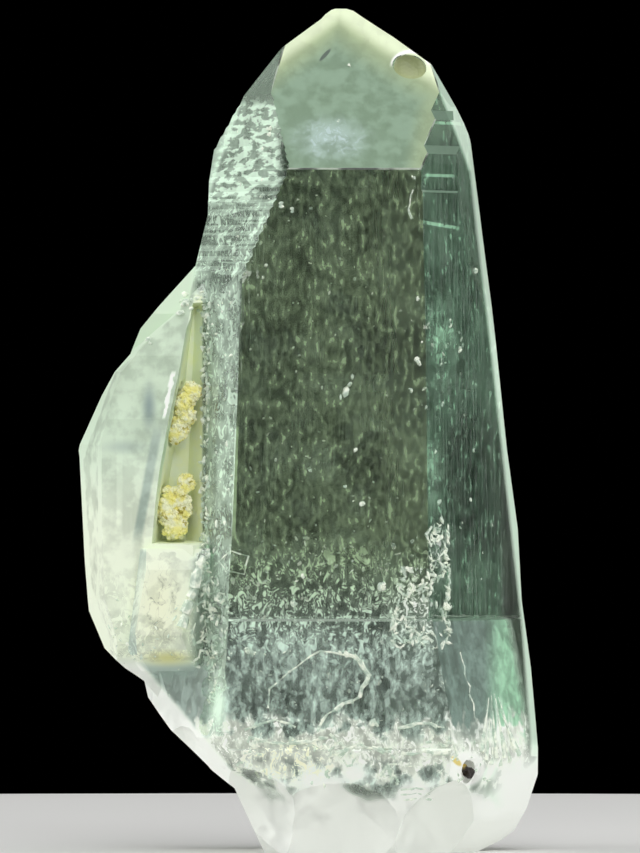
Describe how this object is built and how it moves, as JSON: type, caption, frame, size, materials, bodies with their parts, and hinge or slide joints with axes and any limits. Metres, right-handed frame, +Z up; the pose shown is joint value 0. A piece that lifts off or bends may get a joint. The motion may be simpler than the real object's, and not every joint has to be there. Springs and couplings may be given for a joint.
{
  "type": "quartz crystal",
  "caption": "Clear pointed quartz crystal with a short side crystal grown against it, ochre crust in the groove between them and a broken base it stands on.",
  "frame": {"origin": "middle of the footprint at the level of the flat base, half way across and half way front to back", "axes": "+Z up the tall crystal towards its point; -Y is the front, where the large tip face and the groove show; the short crystal is on the -X side"},
  "size_m": [0.0218, 0.013, 0.04],
  "materials": {
    "clear_quartz": "clear with a faint grey-green cast, flat glossy faces, finely stepped flanks and a frosted broken base",
    "ochre_crust": "dull grainy yellow-ochre crust",
    "brown_mineral": "dull dark brown mineral grain"
  },
  "bodies": {
    "root": {"quartz": "clear_quartz", "ochre_crust_upper": "ochre_crust", "ochre_crust_lower": "ochre_crust", "brown_grain": "brown_mineral"}
  },
  "joints": []
}
